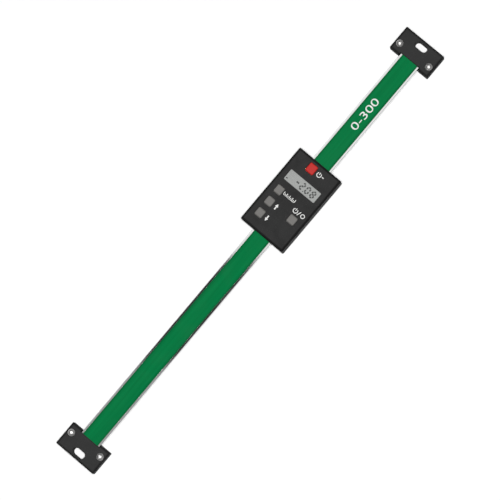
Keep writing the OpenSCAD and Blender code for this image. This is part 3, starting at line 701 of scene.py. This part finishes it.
def digit_outlines(digit, right, up):
    """A seven-segment digit round a middle, leaning a little to the right."""
    w, h = (DIGIT_W - DIGIT_LINE) / 2, (DIGIT_H - DIGIT_LINE) / 2
    ends = {
        "a": (-w, h, w, h), "b": (w, h, w, 0), "c": (w, 0, w, -h), "d": (-w, -h, w, -h),
        "e": (-w, 0, -w, -h), "f": (-w, h, -w, 0), "g": (-w, 0, w, 0),
    }
    outlines = []
    for key in SEGMENTS_ON[digit]:
        shape = segment(*ends[key], DIGIT_LINE)
        outlines.append([(right + p.x + p.y * DIGIT_SLANT, up + p.y) for p in shape])
    return outlines


# The printed marks, in millimetres, each placed right and up of its key's middle
MARK_LINE = 0.6
RING_RADIUS = 1.8
OFF_POWER_RIGHT, OFF_DASH_RIGHT = 7.4, 11.0
DASH_WIDE, DASH_TALL = 1.6, 0.7
RULER_RIGHT, RULER_UP = 9.7, 0.6
RULER_WIDE, RULER_TALL, RULER_TICKS = 11.0, 2.8, 9
ZERO_POWER_RIGHT, ZERO_SLASH_RIGHT, ZERO_RING_RIGHT = -2.4, 1.05, 4.6
ZERO_MARKS_UP = 7.0
SLASH_LEAN, SLASH_TALL, SLASH_WIDE = 1.4, 3.8, 0.7
ARROW_RIGHT, ARROW_TALL, ARROW_WIDE = 6.7, 4.9, 2.7


def slash_mark(right, up):
    """A slanted stroke round a middle."""
    lean, tall, wide = SLASH_LEAN / 2, SLASH_TALL / 2, SLASH_WIDE / 2
    return [
        (right - lean - wide, up - tall), (right - lean + wide, up - tall),
        (right + lean + wide, up + tall), (right + lean - wide, up + tall),
    ]


def add_face_print(ink):
    """White marks beside the keys: off, ruler for the unit, on/zero, and the two arrows."""
    right, up = over_face("off_key")
    marks = power_mark(right + OFF_POWER_RIGHT, up, RING_RADIUS, MARK_LINE)
    marks += [bar(right + OFF_DASH_RIGHT, up, DASH_WIDE, DASH_TALL)]
    right, up = over_face("unit_key")
    right, up = right + RULER_RIGHT, up + RULER_UP
    marks += ruler_mark(right, up, RULER_WIDE, RULER_TALL, MARK_LINE, RULER_TICKS)
    right, up = over_face("zero_key")
    up += ZERO_MARKS_UP
    marks += power_mark(right + ZERO_POWER_RIGHT, up, RING_RADIUS, MARK_LINE)
    marks += [slash_mark(right + ZERO_SLASH_RIGHT, up)]
    ring_radius = RING_RADIUS - MARK_LINE / 2
    marks += arc_quads(right + ZERO_RING_RIGHT, up, ring_radius, MARK_LINE, 0, 360)
    for key, direction in (("up_key", 1), ("down_key", -1)):
        right, up = over_face(key)
        marks += arrow_mark(right + ARROW_RIGHT, up, ARROW_TALL, ARROW_WIDE, direction)
    add_mesh("face_print", "slider", ink, [face_outline(m) for m in marks], face_high.z, PRINT_T)


def add_display_digits(ink):
    """A reading with a minus sign, a point and a small battery bar at the lower left."""
    right, up = over_face("display_window")
    minus = bar(right + MINUS_RIGHT, up, MINUS_WIDE, DIGIT_LINE)
    point = bar(right + POINT_RIGHT, up + POINT_UP, POINT_SIZE, POINT_SIZE)
    battery = bar(right + BATTERY_RIGHT, up + BATTERY_UP, BATTERY_WIDE, BATTERY_TALL)
    shapes = [minus, point]
    for place, digit in enumerate(READING):
        shapes += digit_outlines(digit, right + place * DIGIT_PITCH, up)
    shapes.append(battery)
    outlines = [face_outline(s) for s in shapes]
    add_mesh("display_digits", "slider", ink, outlines, glass_high.z, PRINT_T)


NUMBERS = "0-300"
NUMBERS_AT = 135 * MM
NUMBERS_HEIGHT = 6.0 * MM
NUMBERS_LENGTH = 29 * MM


def add_range_numbers(ink):
    """The plain range numbers printed on the film, read along the beam."""
    data = bpy.data.curves.new("range_numbers", "FONT")
    data.body = NUMBERS
    data.align_x, data.align_y = "CENTER", "CENTER"
    data.extrude = PRINT_T / 2
    words = bpy.data.objects.new("range_numbers_text", data)
    bpy.context.scene.collection.objects.link(words)
    bpy.context.view_layer.update()
    mesh = bpy.data.meshes.new_from_object(words)
    bpy.data.objects.remove(words)
    xs = [v.co.x for v in mesh.vertices]
    ys = [v.co.y for v in mesh.vertices]
    low, high = Vector((min(xs), min(ys), 0)), Vector((max(xs), max(ys), 0))
    grow_x = NUMBERS_LENGTH / (high.x - low.x)
    grow_y = NUMBERS_HEIGHT / (high.y - low.y)
    middle = (low + high) / 2
    for v in mesh.vertices:
        v.co.x = NUMBERS_AT + (v.co.x - middle.x) * grow_x
        v.co.y = (v.co.y - middle.y) * grow_y
        v.co.z = film_high.z + PRINT_T / 2 + v.co.z
    mesh.materials.clear()
    mesh.materials.append(ink)
    numbers = bpy.data.objects.new("range_numbers", mesh)
    bpy.context.scene.collection.objects.link(numbers)
    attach(numbers, "beam_assembly")


def add_floor():
    """A plain pale floor just under the lowest solid."""
    material, tree, shader = start_finish("floor", Specular_IOR_Level=0.1, Roughness=0.8)
    grain_out = place_group(tree, FINE_GRAIN, Grain_size=300.0, Patch_size=3.0)
    tree.links.new(
        mix_colour(tree, grain_out["Shade"], rgba(0.93, 0.93, 0.93), rgba(0.95, 0.95, 0.95)),
        shader.inputs["Base Color"],
    )
    mesh = bpy.data.meshes.new("floor")
    half, z = FLOOR_HALF, cad_low.z - FLOOR_DROP
    corners = [(-half, -half, z), (half, -half, z), (half, half, z), (-half, half, z)]
    mesh.from_pydata(corners, [], [(0, 1, 2, 3)])
    mesh.materials.append(material)
    floor = bpy.data.objects.new("floor", mesh)
    bpy.context.scene.collection.objects.link(floor)


# ---- Dress the solids ----

def dress_solids(finishes):
    """Gives each solid the finish that the record names for it."""
    for row in frame["record"]["subparts"]:
        solid = frame["nodes"][row["node"]]
        solid.data.materials.clear()
        solid.data.materials.append(finishes[row["material_slot"]])


add_camera()
add_surroundings()
add_floor()
dress_solids(make_finishes())
white_ink = printed_ink("white_ink", (0.82, 0.82, 0.80), (0.62, 0.62, 0.61))
display_ink = printed_ink("display_ink", (0.02, 0.022, 0.02), (0.03, 0.033, 0.03))
add_face_print(white_ink)
add_display_digits(display_ink)
add_range_numbers(white_ink)
